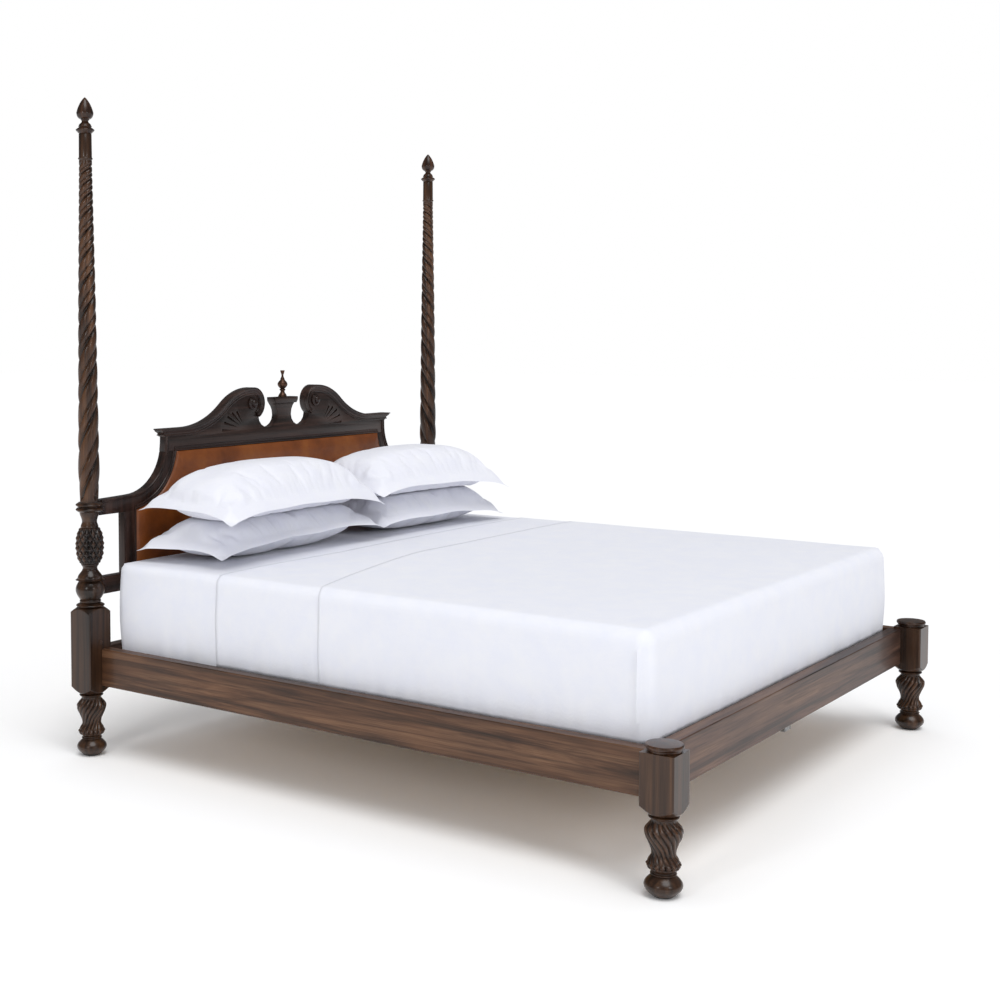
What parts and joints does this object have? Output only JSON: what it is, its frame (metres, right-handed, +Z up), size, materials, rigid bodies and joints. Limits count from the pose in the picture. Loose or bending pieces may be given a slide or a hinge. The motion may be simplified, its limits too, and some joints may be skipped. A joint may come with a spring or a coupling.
{
  "type": "king size bed with spiral head posts",
  "caption": "King size bed with tall spiral-turned head posts, short capped foot posts, a swan-neck headboard with a leather panel, and a made-up mattress with pillows.",
  "frame": {"origin": "on the floor, under the middle of the bed's outer box", "axes": "+X to the right as seen from the foot end, +Y from the foot end to the head end, +Z up"},
  "size_m": [2.152, 2.2719, 2.268],
  "materials": {
    "post_wood": "dark stained, satin lacquer",
    "rail_wood": "dark stained, satin lacquer, open grain",
    "headboard_wood": "very dark stain, satin lacquer",
    "finial_metal": "dark bronze patina",
    "leather": "aniline leather, soft gloss",
    "foam": "open-cell upholstery foam",
    "plywood": "raw plywood",
    "pine": "raw planed pine",
    "steel": "zinc plated",
    "glide_plastic": "moulded nylon",
    "ticking": "woven ticking",
    "sheeting": "washed cotton percale",
    "coverlet_cloth": "washed linen",
    "pillow_cloth": "washed cotton percale"
  },
  "bodies": {
    "bed_frame": {"head_post_left": "post_wood", "head_post_right": "post_wood", "head_shaft_left": "post_wood", "head_shaft_right": "post_wood", "foot_post_left": "post_wood", "foot_post_right": "post_wood", "side_rail_left": "rail_wood", "side_rail_right": "rail_wood", "foot_rail": "rail_wood", "head_rail": "rail_wood", "bolt_plugs": "rail_wood", "headboard_lower_rail": "headboard_wood", "headboard_stile_left": "headboard_wood", "headboard_stile_right": "headboard_wood", "headboard_shoulder_left": "headboard_wood", "headboard_shoulder_right": "headboard_wood", "pediment_board": "headboard_wood", "cornice_left": "headboard_wood", "cornice_right": "headboard_wood", "rosette_left": "headboard_wood", "rosette_right": "headboard_wood", "plinth_cap": "headboard_wood", "plinth_finial": "finial_metal", "leather_panel": "leather", "panel_foam": "foam", "panel_backing": "plywood", "side_cleat_left": "pine", "side_cleat_right": "pine", "slats": "pine", "centre_beam": "pine", "centre_leg_front": "pine", "centre_leg_rear": "pine", "shaft_stud_left": "steel", "shaft_stud_right": "steel", "beam_brackets": "steel", "leg_bolts": "steel", "hook_plates": "steel", "slot_plates": "steel", "plate_screws": "steel", "cleat_screws": "steel", "glides": "glide_plastic", "box_spring_left": "ticking", "box_spring_right": "ticking"},
    "finial_left": {"post_finial_left": "post_wood", "finial_pin_left": "steel"},
    "finial_right": {"post_finial_right": "post_wood", "finial_pin_right": "steel"},
    "cap_left": {"foot_cap_left": "post_wood"},
    "cap_right": {"foot_cap_right": "post_wood"},
    "made_up_mattress": {"mattress": "sheeting", "top_sheet": "sheeting", "coverlet": "coverlet_cloth"},
    "lower_left_pillow": {"pillow_lower_left": "pillow_cloth"},
    "lower_right_pillow": {"pillow_lower_right": "pillow_cloth"},
    "upper_left_pillow": {"pillow_upper_left": "pillow_cloth"},
    "upper_right_pillow": {"pillow_upper_right": "pillow_cloth"}
  },
  "joints": [
    {"name": "finial_left_lift", "type": "slide", "parent": "bed_frame", "child": "finial_left", "axis": [0, 0, 1], "range_m": [0, 0.05]},
    {"name": "finial_right_lift", "type": "slide", "parent": "bed_frame", "child": "finial_right", "axis": [0, 0, 1], "range_m": [0, 0.05]},
    {"name": "cap_left_lift", "type": "slide", "parent": "bed_frame", "child": "cap_left", "axis": [0, 0, 1], "range_m": [0, 0.055]},
    {"name": "cap_right_lift", "type": "slide", "parent": "bed_frame", "child": "cap_right", "axis": [0, 0, 1], "range_m": [0, 0.055]},
    {"name": "mattress_lift", "type": "slide", "parent": "bed_frame", "child": "made_up_mattress", "axis": [0, 0, 1], "range_m": [0, 0.15]},
    {"name": "lower_left_pillow_lift", "type": "slide", "parent": "made_up_mattress", "child": "lower_left_pillow", "axis": [0, 0, 1], "range_m": [0, 0.1]},
    {"name": "lower_right_pillow_lift", "type": "slide", "parent": "made_up_mattress", "child": "lower_right_pillow", "axis": [0, 0, 1], "range_m": [0, 0.1]},
    {"name": "upper_left_pillow_lift", "type": "slide", "parent": "lower_left_pillow", "child": "upper_left_pillow", "axis": [0, 0, 1], "range_m": [0, 0.2]},
    {"name": "upper_right_pillow_lift", "type": "slide", "parent": "lower_right_pillow", "child": "upper_right_pillow", "axis": [0, 0, 1], "range_m": [0, 0.2]}
  ]
}
